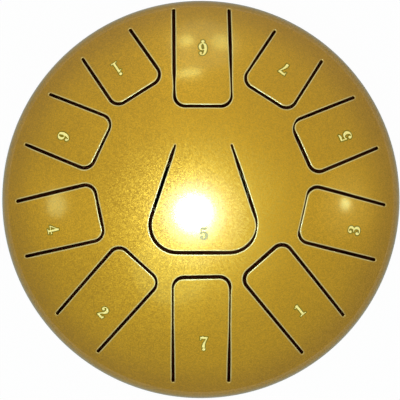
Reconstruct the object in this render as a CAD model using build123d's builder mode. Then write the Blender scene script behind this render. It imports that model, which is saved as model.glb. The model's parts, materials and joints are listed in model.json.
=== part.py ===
from build123d import *
import math
import os

# Steel tongue drum, in millimetres, +Z up, standing with its feet on the plane z = 0.
# +Y runs from the drum's axis towards the tongue of the low sixth note.

# The two pressed shells
drum_diameter = 200.0
sheet = 1.2
dome_rise = 43.7
shoulder_radius = 12.0
top_skirt = 8.0
bowl_radius = 260.0
bowl_shoulder_radius = 40.0
bottom_skirt = 4.0
ground_clearance = 4.0

# The sound hole, with its rim bent up into the drum
sound_hole_diameter = 50.0
hole_bend_radius = 3.0
hole_lip_height = 3.0

# The weld that joins the shells, ground flush outside
weld_gap = 0.8
weld_bead_width = 3.6
weld_bead_height = 0.9

# The slots cut through the dome, and the hairline at each tongue's root
slot_width = 1.2
root_gap = 0.1

# The tongues of the rim, all of one width, rooted near the shoulder
tongue_width = 27.6
tongue_corner_radius = 5.3
root_circle_share = 0.91
low_six_root_circle_share = 0.952

# For each tongue of the rim: the direction of its axis and the slant of its tip, in degrees
rim_angles = {
    "tongue_1": (309.4, -1.9),
    "tongue_2": (228.3, 0.5),
    "tongue_3": (345.7, -1.4),
    "tongue_4": (192.8, 1.1),
    "tongue_5": (22.4, -1.7),
    "tongue_6": (157.8, 3.1),
    "tongue_7": (57.0, -0.6),
    "tongue_high_1": (124.4, 2.2),
    "tongue_low_6": (91.0, 1.2),
    "tongue_low_7": (269.7, -1.4),
}

# For each tongue of the rim, in drum radii: how far its axis passes to the left of the drum's
# centre, looking outwards, and how far its tip stands from the centre
rim_shares = {
    "tongue_1": (0.044, 0.407),
    "tongue_2": (-0.018, 0.423),
    "tongue_3": (0.061, 0.494),
    "tongue_4": (-0.055, 0.490),
    "tongue_5": (0.041, 0.545),
    "tongue_6": (-0.062, 0.543),
    "tongue_7": (0.009, 0.589),
    "tongue_high_1": (-0.048, 0.595),
    "tongue_low_6": (-0.019, 0.449),
    "tongue_low_7": (0.005, 0.373),
}

# The middle tongue, wider at its tip than at its root
middle_root_width = 27.1
middle_tip_width = 61.3
middle_corner_radius = 13.2
middle_azimuth = 90.0
middle_side_share = -0.012
middle_root_share = 0.259
middle_tip_share = -0.255

# The rubber feet, stuck to the bowl with foam discs
foot_count = 3
foot_first_azimuth = 90.0
foot_circle_diameter = 120.0
foot_diameter = 18.0
foot_edge_radius = 2.4
adhesive_thickness = 0.8
adhesive_inset = 1.0

# How far a cut runs past what it cuts
overrun = 2.0

# Places worked out from the sizes above
drum_radius = drum_diameter / 2
dome_reach = drum_radius - shoulder_radius
dome_radius = (dome_reach**2 + dome_rise**2 - shoulder_radius**2) / (2 * (dome_rise - shoulder_radius))
dome_slope = math.degrees(math.asin(dome_reach / (dome_radius - shoulder_radius)))

bowl_reach = drum_radius - bowl_shoulder_radius
bowl_slope = math.degrees(math.asin(bowl_reach / (bowl_radius - bowl_shoulder_radius)))
bowl_centre_z = ground_clearance + bowl_radius
bowl_shoulder_z = bowl_centre_z - math.sqrt((bowl_radius - bowl_shoulder_radius) ** 2 - bowl_reach**2)

seam_z = bowl_shoulder_z + bottom_skirt
shoulder_z = seam_z + top_skirt
dome_top_z = shoulder_z + dome_rise
dome_centre_z = dome_top_z - dome_radius

hole_radius = sound_hole_diameter / 2
bend_reach = hole_radius + hole_bend_radius
bend_slope = math.degrees(math.asin(bend_reach / (bowl_radius - hole_bend_radius)))
bend_z = bowl_centre_z - math.sqrt((bowl_radius - hole_bend_radius) ** 2 - bend_reach**2)

foot_circle_radius = foot_circle_diameter / 2
foot_azimuths = [foot_first_azimuth + 360 * index / foot_count for index in range(foot_count)]


def bowl_height(radius):
    """Height of the bowl's outside at a distance from the drum's axis."""
    if radius < bowl_radius * math.sin(math.radians(bowl_slope)):
        return bowl_centre_z - math.sqrt(bowl_radius**2 - radius**2)
    return bowl_shoulder_z - math.sqrt(bowl_shoulder_radius**2 - (radius - bowl_reach) ** 2)


def plan_point(azimuth, along, side):
    """A point seen from above: along an axis out from the centre, then to the left of it."""
    turn = math.radians(azimuth)
    x = along * math.cos(turn) - side * math.sin(turn)
    y = along * math.sin(turn) + side * math.cos(turn)
    return Vector(x, y)


def rim_corners(name):
    """The slot's two ends and two tip corners round a tongue of the rim, on the slot's middle line."""
    azimuth, tip_slant = rim_angles[name]
    side_share, tip_share = rim_shares[name]
    circle_share = low_six_root_circle_share if name == "tongue_low_6" else root_circle_share
    left = side_share * drum_radius + tongue_width / 2
    right = side_share * drum_radius - tongue_width / 2
    slant = math.tan(math.radians(tip_slant)) * tongue_width / 2
    tip = tip_share * drum_radius
    root_circle = circle_share * drum_radius
    return [
        plan_point(azimuth, math.sqrt(root_circle**2 - left**2), left),
        plan_point(azimuth, tip + slant, left),
        plan_point(azimuth, tip - slant, right),
        plan_point(azimuth, math.sqrt(root_circle**2 - right**2), right),
    ]


def middle_corners():
    """The slot's two ends and two tip corners round the middle tongue."""
    side = middle_side_share * drum_radius
    root = middle_root_share * drum_radius
    tip = middle_tip_share * drum_radius
    return [
        plan_point(middle_azimuth, root, side + middle_root_width / 2),
        plan_point(middle_azimuth, tip, side + middle_tip_width / 2),
        plan_point(middle_azimuth, tip, side - middle_tip_width / 2),
        plan_point(middle_azimuth, root, side - middle_root_width / 2),
    ]


def tongue_blank(corners, corner_radius, inset=0):
    """The area inside a slot's middle line, closed at the root, which may be set in a little."""
    left_end, left_tip, right_tip, right_end = corners
    left_root = left_end + (left_tip - left_end).normalized() * inset
    right_root = right_end + (right_tip - right_end).normalized() * inset
    with BuildSketch() as blank:
        with BuildLine():
            FilletPolyline(left_root, left_tip, right_tip, right_root, radius=corner_radius)
            Line(right_root, left_root)
        make_face()
    return blank.sketch


def slot_band(corners, corner_radius):
    """The slot itself, with round ends."""
    with BuildSketch() as band:
        with BuildLine():
            FilletPolyline(*corners, radius=corner_radius)
            offset(amount=slot_width / 2)
        make_face()
    return band.sketch


def bowl_profile(grow):
    """Half of the filled bowl's section, grown outwards by a thickness."""
    with BuildSketch(Plane.XZ) as profile:
        with BuildLine():
            Line((0, seam_z), (0, ground_clearance - grow))
            CenterArc((0, bowl_centre_z), bowl_radius + grow, -90, bowl_slope)
            CenterArc(
                (bowl_reach, bowl_shoulder_z),
                bowl_shoulder_radius + grow,
                bowl_slope - 90,
                90 - bowl_slope,
            )
            Line((drum_radius + grow, bowl_shoulder_z), (drum_radius + grow, seam_z))
            Line((drum_radius + grow, seam_z), (0, seam_z))
        make_face()
    return profile.sketch


tongues = {name: (rim_corners(name), tongue_corner_radius) for name in rim_angles}
tongues["tongue_low_5"] = (middle_corners(), middle_corner_radius)

os.makedirs("parts", exist_ok=True)

# The dome before it is cut: a shallow cap, a rounded shoulder and a short upright skirt
top_edge_z = seam_z + weld_gap / 2
with BuildPart() as dome:
    with BuildSketch(Plane.XZ):
        with BuildLine():
            CenterArc((0, dome_centre_z), dome_radius, 90 - dome_slope, dome_slope)
            CenterArc((dome_reach, shoulder_z), shoulder_radius, 0, 90 - dome_slope)
            Line((drum_radius, shoulder_z), (drum_radius, top_edge_z))
            Line((drum_radius, top_edge_z), (drum_radius - sheet, top_edge_z))
            Line((drum_radius - sheet, top_edge_z), (drum_radius - sheet, shoulder_z))
            CenterArc((dome_reach, shoulder_z), shoulder_radius - sheet, 0, 90 - dome_slope)
            CenterArc((0, dome_centre_z), dome_radius - sheet, 90 - dome_slope, dome_slope)
            Line((0, dome_top_z - sheet), (0, dome_top_z))
        make_face()
    revolve(axis=Axis.Z)

# The top shell, with a window where each tongue and its slot go
with BuildPart() as top_shell:
    add(dome.part)
    for corners, corner_radius in tongues.values():
        with BuildSketch(Plane.XY.offset(seam_z)):
            add(tongue_blank(corners, corner_radius))
            add(slot_band(corners, corner_radius))
        extrude(amount=dome_top_z - seam_z + overrun, mode=Mode.SUBTRACT)
top_shell.part.label = "top_shell"
export_step(top_shell.part, "parts/top_shell.step")

# The tongues, each the piece of the dome that its slot leaves standing
for name, (corners, corner_radius) in tongues.items():
    with BuildPart() as tongue:
        add(dome.part)
        with BuildSketch(Plane.XY.offset(seam_z)):
            add(tongue_blank(corners, corner_radius, root_gap))
            add(slot_band(corners, corner_radius), mode=Mode.SUBTRACT)
        extrude(amount=dome_top_z - seam_z + overrun, mode=Mode.INTERSECT)
    tongue.part.label = name
    export_step(tongue.part, f"parts/{name}.step")

# The bottom shell: a skirt, a deep shoulder, a flat bowl and the bent rim of the sound hole
bottom_edge_z = seam_z - weld_gap / 2
lip_top_z = bend_z + hole_lip_height
with BuildPart() as bottom_shell:
    with BuildSketch(Plane.XZ):
        with BuildLine():
            Line((hole_radius, lip_top_z), (hole_radius, bend_z))
            CenterArc((bend_reach, bend_z), hole_bend_radius, 180, 90 + bend_slope)
            CenterArc((0, bowl_centre_z), bowl_radius, bend_slope - 90, bowl_slope - bend_slope)
            CenterArc((bowl_reach, bowl_shoulder_z), bowl_shoulder_radius, bowl_slope - 90, 90 - bowl_slope)
            Line((drum_radius, bowl_shoulder_z), (drum_radius, bottom_edge_z))
            Line((drum_radius, bottom_edge_z), (drum_radius - sheet, bottom_edge_z))
            Line((drum_radius - sheet, bottom_edge_z), (drum_radius - sheet, bowl_shoulder_z))
            CenterArc(
                (bowl_reach, bowl_shoulder_z),
                bowl_shoulder_radius - sheet,
                bowl_slope - 90,
                90 - bowl_slope,
            )
            CenterArc((0, bowl_centre_z), bowl_radius - sheet, bend_slope - 90, bowl_slope - bend_slope)
            CenterArc((bend_reach, bend_z), hole_bend_radius - sheet, 180, 90 + bend_slope)
            Line((hole_radius + sheet, bend_z), (hole_radius + sheet, lip_top_z))
            Line((hole_radius + sheet, lip_top_z), (hole_radius, lip_top_z))
        make_face()
    revolve(axis=Axis.Z)
bottom_shell.part.label = "bottom_shell"
export_step(bottom_shell.part, "parts/bottom_shell.step")

# The weld: it fills the gap between the skirts and stands as a low bead inside
with BuildPart() as seam_weld:
    wall = drum_radius - sheet
    with BuildSketch(Plane.XZ):
        with BuildLine():
            Polyline(
                (wall, seam_z + weld_bead_width / 2),
                (wall, top_edge_z),
                (drum_radius, top_edge_z),
                (drum_radius, bottom_edge_z),
                (wall, bottom_edge_z),
                (wall, seam_z - weld_bead_width / 2),
            )
            ThreePointArc(
                (wall, seam_z - weld_bead_width / 2),
                (wall - weld_bead_height, seam_z),
                (wall, seam_z + weld_bead_width / 2),
            )
        make_face()
    revolve(axis=Axis.Z)
seam_weld.part.label = "seam_weld"
export_step(seam_weld.part, "parts/seam_weld.step")

# The feet: round rubber with a level sole, cut on top to the bowl's curve, on foam discs
foot_top_z = bowl_height(foot_circle_radius + foot_diameter / 2) + overrun
for number, azimuth in enumerate(foot_azimuths, start=1):
    foot_place = Plane(origin=plan_point(azimuth, foot_circle_radius, 0))

    with BuildPart() as foot_adhesive:
        with BuildSketch(foot_place):
            Circle(foot_diameter / 2 - adhesive_inset)
        extrude(amount=foot_top_z)
        revolve(bowl_profile(adhesive_thickness), axis=Axis.Z, mode=Mode.INTERSECT)
        revolve(bowl_profile(0), axis=Axis.Z, mode=Mode.SUBTRACT)
    foot_adhesive.part.label = f"foot_adhesive_{number}"
    export_step(foot_adhesive.part, f"parts/foot_adhesive_{number}.step")

    with BuildPart() as foot:
        with BuildSketch(foot_place):
            Circle(foot_diameter / 2)
        extrude(amount=foot_top_z)
        fillet(foot.edges().group_by(Axis.Z)[0], radius=foot_edge_radius)
        revolve(bowl_profile(adhesive_thickness), axis=Axis.Z, mode=Mode.SUBTRACT)
    foot.part.label = f"foot_{number}"
    export_step(foot.part, f"parts/foot_{number}.step")
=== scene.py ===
"""Looks of a steel tongue drum, dressed over its packed construction.

The drum is two pressed shells welded rim to rim. Eleven tongues, each freed by a slot on three sides, are cut
into the upper shell and carry the numbers of their notes. Three rubber feet hold the sound hole off the ground.
Lengths are metres, +Z is up, the feet stand on the plane z = 0, and "the plan" is the drum seen from above.
"""

import json
import logging
import math
from dataclasses import dataclass, replace
from enum import Enum, IntEnum
from pathlib import Path

import bpy
import numpy as np
from mathutils import Vector
from mathutils.geometry import delaunay_2d_cdt
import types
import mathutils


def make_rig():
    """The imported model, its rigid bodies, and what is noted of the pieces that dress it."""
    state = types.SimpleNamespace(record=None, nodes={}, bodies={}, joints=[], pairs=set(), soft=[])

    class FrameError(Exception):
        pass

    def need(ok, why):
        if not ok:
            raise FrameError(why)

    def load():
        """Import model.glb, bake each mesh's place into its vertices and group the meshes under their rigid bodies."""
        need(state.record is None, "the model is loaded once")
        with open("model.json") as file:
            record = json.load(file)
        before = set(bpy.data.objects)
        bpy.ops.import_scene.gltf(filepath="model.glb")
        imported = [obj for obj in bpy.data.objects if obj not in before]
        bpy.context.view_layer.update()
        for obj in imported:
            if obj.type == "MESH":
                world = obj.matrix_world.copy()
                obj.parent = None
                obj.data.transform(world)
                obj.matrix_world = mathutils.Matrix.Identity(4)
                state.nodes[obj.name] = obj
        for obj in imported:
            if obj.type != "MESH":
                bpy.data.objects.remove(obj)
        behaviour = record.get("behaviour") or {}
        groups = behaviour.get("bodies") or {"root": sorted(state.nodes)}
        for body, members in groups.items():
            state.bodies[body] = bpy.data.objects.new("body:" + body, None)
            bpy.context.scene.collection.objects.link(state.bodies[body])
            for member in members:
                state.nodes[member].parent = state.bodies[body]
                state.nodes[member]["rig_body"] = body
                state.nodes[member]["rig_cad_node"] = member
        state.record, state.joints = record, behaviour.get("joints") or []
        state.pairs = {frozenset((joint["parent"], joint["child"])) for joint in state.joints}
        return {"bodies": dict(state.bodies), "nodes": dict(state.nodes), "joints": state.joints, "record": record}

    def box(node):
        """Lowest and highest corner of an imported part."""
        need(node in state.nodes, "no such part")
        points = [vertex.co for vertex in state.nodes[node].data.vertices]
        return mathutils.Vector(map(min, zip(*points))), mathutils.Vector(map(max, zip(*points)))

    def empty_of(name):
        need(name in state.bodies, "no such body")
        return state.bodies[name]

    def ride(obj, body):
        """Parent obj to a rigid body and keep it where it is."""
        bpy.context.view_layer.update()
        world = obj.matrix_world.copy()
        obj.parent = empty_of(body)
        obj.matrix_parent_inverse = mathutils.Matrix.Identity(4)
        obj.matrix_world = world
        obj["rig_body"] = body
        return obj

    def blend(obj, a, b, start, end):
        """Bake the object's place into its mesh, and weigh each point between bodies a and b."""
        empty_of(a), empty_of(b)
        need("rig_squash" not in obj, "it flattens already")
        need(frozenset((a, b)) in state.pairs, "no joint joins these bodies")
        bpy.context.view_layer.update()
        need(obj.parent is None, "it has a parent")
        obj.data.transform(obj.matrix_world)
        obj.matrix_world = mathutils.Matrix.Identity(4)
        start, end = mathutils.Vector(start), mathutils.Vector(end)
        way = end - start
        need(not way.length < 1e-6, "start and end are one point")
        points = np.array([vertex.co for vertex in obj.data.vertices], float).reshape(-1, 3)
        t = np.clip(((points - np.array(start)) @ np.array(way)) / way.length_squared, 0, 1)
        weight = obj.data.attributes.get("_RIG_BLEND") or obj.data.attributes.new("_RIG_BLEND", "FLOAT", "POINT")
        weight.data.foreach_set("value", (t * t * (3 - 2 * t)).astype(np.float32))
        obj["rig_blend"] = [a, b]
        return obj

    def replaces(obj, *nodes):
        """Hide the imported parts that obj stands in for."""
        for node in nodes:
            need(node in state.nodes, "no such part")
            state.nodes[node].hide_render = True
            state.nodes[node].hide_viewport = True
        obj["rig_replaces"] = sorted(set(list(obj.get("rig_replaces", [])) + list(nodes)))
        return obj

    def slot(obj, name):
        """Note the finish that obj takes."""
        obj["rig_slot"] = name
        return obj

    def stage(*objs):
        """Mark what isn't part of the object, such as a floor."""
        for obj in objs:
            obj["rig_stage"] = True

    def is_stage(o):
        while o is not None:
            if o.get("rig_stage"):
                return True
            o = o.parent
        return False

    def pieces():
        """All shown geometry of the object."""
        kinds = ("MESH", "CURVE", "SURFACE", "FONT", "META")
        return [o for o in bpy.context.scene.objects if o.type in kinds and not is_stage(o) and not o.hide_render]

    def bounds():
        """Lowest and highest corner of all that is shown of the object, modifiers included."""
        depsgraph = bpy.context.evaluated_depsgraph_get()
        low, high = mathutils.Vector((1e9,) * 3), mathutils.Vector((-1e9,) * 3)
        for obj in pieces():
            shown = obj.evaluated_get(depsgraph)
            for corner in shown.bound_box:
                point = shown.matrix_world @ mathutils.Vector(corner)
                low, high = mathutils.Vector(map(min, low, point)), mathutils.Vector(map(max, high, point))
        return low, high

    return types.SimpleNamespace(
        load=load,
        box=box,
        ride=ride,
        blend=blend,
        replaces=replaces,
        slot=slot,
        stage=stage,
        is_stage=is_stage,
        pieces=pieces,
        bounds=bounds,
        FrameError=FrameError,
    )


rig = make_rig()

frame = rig.load()
cad_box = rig.bounds()

log = logging.getLogger("tongue_drum")

Colour = tuple[float, float, float, float]
# Points of a profile, as distances from the axis and heights, and their normals
Stretch = tuple[np.ndarray, np.ndarray]

WHITE: Colour = (1.0, 1.0, 1.0, 1.0)
UP = np.array([0.0, 0.0, 1.0])
MILLIMETRE = 0.001
# Points closer together than this are one point
MERGE_DISTANCE = 1e-7
# The plan is divided in millimetres, where the divider's own tolerance fits
PLAN_SCALE = 1000.0
PLAN_TOLERANCE = 1e-6
# The numbers are divided on a body one unit high, where strokes that nearly touch become one
DIGIT_TOLERANCE = 2e-4
# The divider keeps only the triangles inside the outlines that it is given
INSIDE_ONLY = 1
# Fewest steps on a run or a round of a slot's line
LEAST_STEPS = 2
# Distance of the rows of an even-sided net, as a share of its side
ROW_RATIO = math.sqrt(0.75)
# Attribute with the share of an edge's paler paint at each point: partly worn paint, partly a painted highlight
EDGE_WEAR_AND_HIGHLIGHT = "edge_wear"
# Sockets of a mix of colours, which have no names of their own
MIX_SHARE, MIX_FIRST, MIX_SECOND, MIX_RESULT = 0, 6, 7, 2
# Detail of the noise in the mottle, and the span of it that is spread between the limits
MOTTLE_DETAIL = 4.0
MOTTLE_SPAN = (0.3, 0.7)


# Surfaces


class Coat(IntEnum):
    """Numbers of the finishes on a piece of the steel."""

    OUTSIDE = 0
    INSIDE = 1
    CUT = 2


@dataclass
class Surface:
    """A patch of skin: points, the outward normal at each, faces of one number of corners, and a finish number.

    Where the patch runs over an edge, wear is the share of that edge's paler paint at each point:
    partly worn paint, partly a painted highlight.
    """

    points: np.ndarray
    normals: np.ndarray
    faces: np.ndarray
    finish: int = 0
    wear: np.ndarray | None = None

    def outward(self) -> np.ndarray:
        """Faces with their corners in the order that makes them point along the normals.

        A face's own direction is the sum of the cross products of its neighbouring corners.

        Returns:
            The faces, those that pointed inwards turned round.
        """
        corners = self.points[self.faces]
        direction = np.cross(corners, np.roll(corners, -1, axis=1)).sum(axis=1)
        wanted = self.normals[self.faces].sum(axis=1)
        turned = (direction * wanted).sum(axis=1) < 0
        return np.where(turned[:, None], self.faces[:, ::-1], self.faces)


def grid_surface(
    points: np.ndarray,
    normals: np.ndarray,
    finish: int = 0,
    closed: bool = False,
    wear: np.ndarray | None = None,
) -> Surface:
    """Skin over a grid of points, with one four-sided face in each cell.

    Args:
        points: The grid's places, rows by columns by 3.
        normals: Outward normals on the same grid.
        finish: Number of the finish in the piece's list.
        closed: True where the last column runs on to the first.
        wear: Share of an edge's paler paint on the same grid, partly wear and partly painted highlight.

    Returns:
        The skin.
    """
    rows, columns = points.shape[:2]
    index = np.arange(rows * columns).reshape(rows, columns)
    if closed:
        index = np.concatenate([index, index[:, :1]], axis=1)
    cells = np.stack([index[:-1, :-1], index[1:, :-1], index[1:, 1:], index[:-1, 1:]], axis=-1)
    shares = None if wear is None else wear.ravel()
    return Surface(points.reshape(-1, 3), normals.reshape(-1, 3), cells.reshape(-1, 4), finish, shares)


def face_surface(points: np.ndarray, normal: np.ndarray, finish: int = 0) -> Surface:
    """One flat face with all of the points as its corners."""
    return Surface(points, np.tile(normal, (len(points), 1)), np.arange(len(points))[None, :], finish)


def flat_direction(plan: np.ndarray) -> np.ndarray:
    """Directions of the plan as level directions in space."""
    return np.concatenate([plan, np.zeros(plan.shape[:-1] + (1,))], axis=-1)


def left_of(way: np.ndarray) -> np.ndarray:
    """Directions of the plan, turned a quarter to the left."""
    return np.stack([-way[..., 1], way[..., 0]], axis=-1)


def unit(directions: np.ndarray) -> np.ndarray:
    """The directions at a length of one."""
    return directions / np.linalg.norm(directions, axis=-1, keepdims=True)


def spokes(count: int) -> np.ndarray:
    """Even directions of the plan, once round."""
    angle = np.linspace(0, 2 * math.pi, count, endpoint=False)
    return np.stack([np.cos(angle), np.sin(angle)], axis=-1)


def turned_surface(
    profile: np.ndarray, normals: np.ndarray, segments: int, finish: int = 0, centre: tuple[float, float] = (0, 0)
) -> Surface:
    """A profile carried round an upright axis.

    The point at a share of the turn is the profile's distance from the axis along that direction, at the
    profile's height.

    Args:
        profile: Distances from the axis and heights, one row a point.
        normals: Outward normals of the profile in the same two directions.
        segments: Number of steps in a full turn.
        finish: Number of the finish in the piece's list.
        centre: Place of the axis in the plan.

    Returns:
        The skin, closed round the axis.
    """
    spoke = flat_direction(spokes(segments))
    points = profile[:, None, :1] * spoke + profile[:, None, 1:] * UP + np.array([*centre, 0.0])
    directions = normals[:, None, :1] * spoke + normals[:, None, 1:] * UP
    return grid_surface(points, directions, finish, closed=True)


def turned_shell(outside: list[Stretch], inside: list[Stretch], segments: int) -> list[Surface]:
    """Stretches of a shell's profile carried round the drum's axis.

    Args:
        outside: Those with the outside's finish.
        inside: Those with the inside's.
        segments: Number of steps in a full turn.

    Returns:
        A skin for each stretch.
    """
    return [
        turned_surface(*stretch, segments, coat)
        for coat, stretches in ((Coat.OUTSIDE, outside), (Coat.INSIDE, inside))
        for stretch in stretches
    ]


def arc_profile(
    centre: tuple[float, float], radius: float, start: float, end: float, steps: int, hollow: bool = False
) -> Stretch:
    """A round stretch of a profile, with its normals.

    Args:
        centre: Distance from the axis and height of the arc's centre.
        radius: The arc's radius.
        start: Direction of its first point, in degrees from level.
        end: Direction of its last point.
        steps: Number of steps along it.
        hollow: True where the steel is outside the arc, so that the normals point at its centre.

    Returns:
        The points and their normals.
    """
    angle = np.radians(np.linspace(start, end, steps + 1))
    spoke = np.stack([np.cos(angle), np.sin(angle)], axis=-1)
    return np.array(centre) + radius * spoke, -spoke if hollow else spoke


def line_profile(first: tuple[float, float], last: tuple[float, float], steps: int = 1) -> Stretch:
    """A straight stretch of a profile, with the normals to the right of its run.

    Args:
        first: Distance from the axis and height where it starts.
        last: The same where it ends.
        steps: Number of steps along it.

    Returns:
        The points and their normals.
    """
    share = np.linspace(0, 1, steps + 1)[:, None]
    run = np.array(last) - np.array(first)
    right = np.array([run[1], -run[0]]) / np.hypot(*run)
    return np.array(first) + share * run, np.tile(right, (steps + 1, 1))


def make_piece(name: str, surfaces: list[Surface], finishes: list[bpy.types.Material]) -> bpy.types.Object:
    """Joins patches of skin into one object, merging the points that they share.

    Args:
        name: Name of the piece.
        surfaces: The patches, with outward normals.
        finishes: The materials that the patches' finish numbers count in.

    Returns:
        The object, at the origin, with its place in its mesh.
    """
    points = np.concatenate([patch.points for patch in surfaces])
    keys = np.round(points / MERGE_DISTANCE).astype(np.int64)
    _, first, merged = np.unique(keys, axis=0, return_index=True, return_inverse=True)
    merged = merged.reshape(-1)

    corners, normals, counts, materials = [], [], [], []
    offset = 0
    for patch in surfaces:
        faces = patch.outward()
        joined = merged[faces + offset]
        kept = joined != np.roll(joined, 1, axis=1)
        whole = kept.sum(axis=1) >= 3
        corners.append(joined[whole][kept[whole]])
        normals.append(patch.normals[faces][whole][kept[whole]])
        counts.append(kept.sum(axis=1)[whole])
        materials.append(np.full(whole.sum(), patch.finish))
        offset += len(patch.points)

    counts = np.concatenate(counts)
    mesh = bpy.data.meshes.new(name)
    mesh.vertices.add(len(first))
    mesh.vertices.foreach_set("co", points[first].astype(np.float32).ravel())
    mesh.loops.add(int(counts.sum()))
    mesh.loops.foreach_set("vertex_index", np.concatenate(corners).astype(np.int32))
    mesh.polygons.add(len(counts))
    mesh.polygons.foreach_set("loop_start", (np.cumsum(counts) - counts).astype(np.int32))
    mesh.polygons.foreach_set("material_index", np.concatenate(materials).astype(np.int32))
    mesh.update(calc_edges=True)
    mesh.shade_smooth()
    mesh.normals_split_custom_set(unit(np.concatenate(normals)).tolist())
    wear = [np.zeros(len(patch.points)) if patch.wear is None else patch.wear for patch in surfaces]
    mesh.attributes.new(EDGE_WEAR_AND_HIGHLIGHT, "FLOAT", "POINT").data.foreach_set(
        "value", np.concatenate(wear)[first].astype(np.float32)
    )
    for finish in finishes:
        mesh.materials.append(finish)
    piece = bpy.data.objects.new(name, mesh)
    bpy.context.scene.collection.objects.link(piece)
    log.info("%s: %d points, %d faces", name, len(mesh.vertices), len(mesh.polygons))
    return piece


# Finishes


class Effect(Enum):
    """Effects that several finishes share, each one node group."""

    FLAKES = "metal_flakes"
    RIPPLE = "paint_ripple"
    MOTTLE = "slow_mottle"


class NodeBoard:
    """Puts nodes on a tree and joins their sockets."""

    def __init__(self, tree: bpy.types.NodeTree) -> None:
        """Starts on a tree, cleared of the nodes that it was made with."""
        tree.nodes.clear()
        self.tree = tree

    def add(self, kind: str, values: dict | None = None, **settings: object) -> bpy.types.Node:
        """Adds a node.

        Args:
            kind: Type of the node.
            values: Values of its input sockets, by name or number; a socket as the value is joined.
            settings: Values of its own properties.

        Returns:
            The node.
        """
        node = self.tree.nodes.new(kind)
        for key, value in settings.items():
            setattr(node, key, value)
        for key, value in (values or {}).items():
            if isinstance(value, bpy.types.NodeSocket):
                self.tree.links.new(value, node.inputs[key])
            else:
                node.inputs[key].default_value = value
        return node

    def math(self, operation: str, first: object, second: object = 0.0) -> bpy.types.NodeSocket:
        """The result of one sum on two numbers or sockets."""
        return self.add("ShaderNodeMath", {0: first, 1: second}, operation=operation).outputs[0]

    def vector(self, operation: str, values: dict) -> bpy.types.NodeSocket:
        """The result of one sum on directions or places."""
        return self.add("ShaderNodeVectorMath", values, operation=operation).outputs[0]

    def mix(self, share: object, first: object, second: object, blend: str = "MIX") -> bpy.types.NodeSocket:
        """A colour between two colours or sockets, by a share that may change over the surface."""
        values = {MIX_SHARE: share, MIX_FIRST: first, MIX_SECOND: second}
        return self.add("ShaderNodeMix", values, data_type="RGBA", blend_type=blend).outputs[MIX_RESULT]

    def ramp(
        self, value: object, span: tuple[float, float], limits: tuple = (0.0, 1.0), kind: str = "LINEAR"
    ) -> bpy.types.NodeSocket:
        """A number that runs between two limits, which may be sockets, while another runs over a span."""
        values = {"Value": value, "From Min": span[0], "From Max": span[1], "To Min": limits[0], "To Max": limits[1]}
        return self.add("ShaderNodeMapRange", values, interpolation_type=kind).outputs["Result"]

    def effect(self, effect: Effect, **values: float) -> bpy.types.bpy_prop_collection:
        """Places a shared effect in a material.

        Args:
            effect: The effect.
            values: Its values there, by the names of its inputs in small letters.

        Returns:
            Its outputs.
        """
        node = self.add("ShaderNodeGroup", node_tree=bpy.data.node_groups[effect.value])
        for name, value in values.items():
            node.inputs[name.capitalize()].default_value = value
        return node.outputs

    def bump(self, height: bpy.types.NodeSocket, depth: float, **base: bpy.types.NodeSocket) -> bpy.types.NodeSocket:
        """Normals bent by a height, over the surface's own or over given ones."""
        values = {"Strength": 1.0, "Distance": depth, "Height": height, **base}
        return self.add("ShaderNodeBump", values).outputs["Normal"]

    def shade(self, values: dict) -> None:
        """Ends a material's tree with its shader, given the values and sockets that feed it."""
        shader = self.add("ShaderNodeBsdfPrincipled", values)
        self.add("ShaderNodeOutputMaterial", {"Surface": shader.outputs["BSDF"]})


def new_material(name: str) -> tuple[bpy.types.Material, NodeBoard]:
    """Starts a material.

    Args:
        name: Name of the material.

    Returns:
        The material and its board, without nodes.
    """
    material = bpy.data.materials.new(name)
    material.use_nodes = True
    return material, NodeBoard(material.node_tree)


def new_group(
    effect: Effect, inputs: tuple[str, ...], outputs: dict[str, str]
) -> tuple[NodeBoard, bpy.types.bpy_prop_collection, dict]:
    """Starts the node group of an effect with a pattern of a given size.

    Args:
        effect: The effect that names it.
        inputs: Names of its number inputs, besides the size.
        outputs: Names and types of its outputs.

    Returns:
        The group's board, the values given to the group, and the place and scale that a pattern node takes.
    """
    tree = bpy.data.node_groups.new(effect.value, "ShaderNodeTree")
    for name in ("Size", *inputs):
        tree.interface.new_socket(name=name, in_out="INPUT", socket_type="NodeSocketFloat")
    for name, kind in outputs.items():
        tree.interface.new_socket(name=name, in_out="OUTPUT", socket_type=kind)
    board = NodeBoard(tree)
    given = board.add("NodeGroupInput").outputs
    place = board.add("ShaderNodeTexCoord").outputs["Object"]
    return board, given, {"Vector": place, "Scale": board.math("DIVIDE", 1.0, given["Size"])}


def build_effects() -> None:
    """Builds the three shared effects.

    Flakes: each cell of a fine cell pattern tilts the surface its own way and has its own shade. Ripple: a soft
    noise for the unevenness of sprayed paint. Mottle: a slow noise between two limits.
    """
    outputs = {"Normal": "NodeSocketVector", "Shade": "NodeSocketFloat"}
    board, given, pattern = new_group(Effect.FLAKES, ("Tilt",), outputs)
    cells = board.add("ShaderNodeTexVoronoi", pattern).outputs["Color"]
    centred = board.vector("SUBTRACT", {0: cells, 1: (0.5, 0.5, 0.5)})
    tilt = board.vector("SCALE", {0: centred, "Scale": given["Tilt"]})
    straight = board.add("ShaderNodeNewGeometry").outputs["Normal"]
    normal = board.vector("NORMALIZE", {0: board.vector("ADD", {0: straight, 1: tilt})})
    shade = board.add("ShaderNodeSeparateXYZ", {0: cells}).outputs["X"]
    board.add("NodeGroupOutput", {"Normal": normal, "Shade": shade})

    board, given, pattern = new_group(Effect.RIPPLE, ("Detail",), {"Height": "NodeSocketFloat"})
    noise = board.add("ShaderNodeTexNoise", {**pattern, "Detail": given["Detail"]})
    board.add("NodeGroupOutput", {"Height": noise.outputs["Fac"]})

    board, given, pattern = new_group(Effect.MOTTLE, ("Low", "High"), {"Value": "NodeSocketFloat"})
    noise = board.add("ShaderNodeTexNoise", {**pattern, "Detail": MOTTLE_DETAIL})
    spread = board.ramp(noise.outputs["Fac"], MOTTLE_SPAN, (given["Low"], given["High"]))
    board.add("NodeGroupOutput", {"Value": spread})


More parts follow.
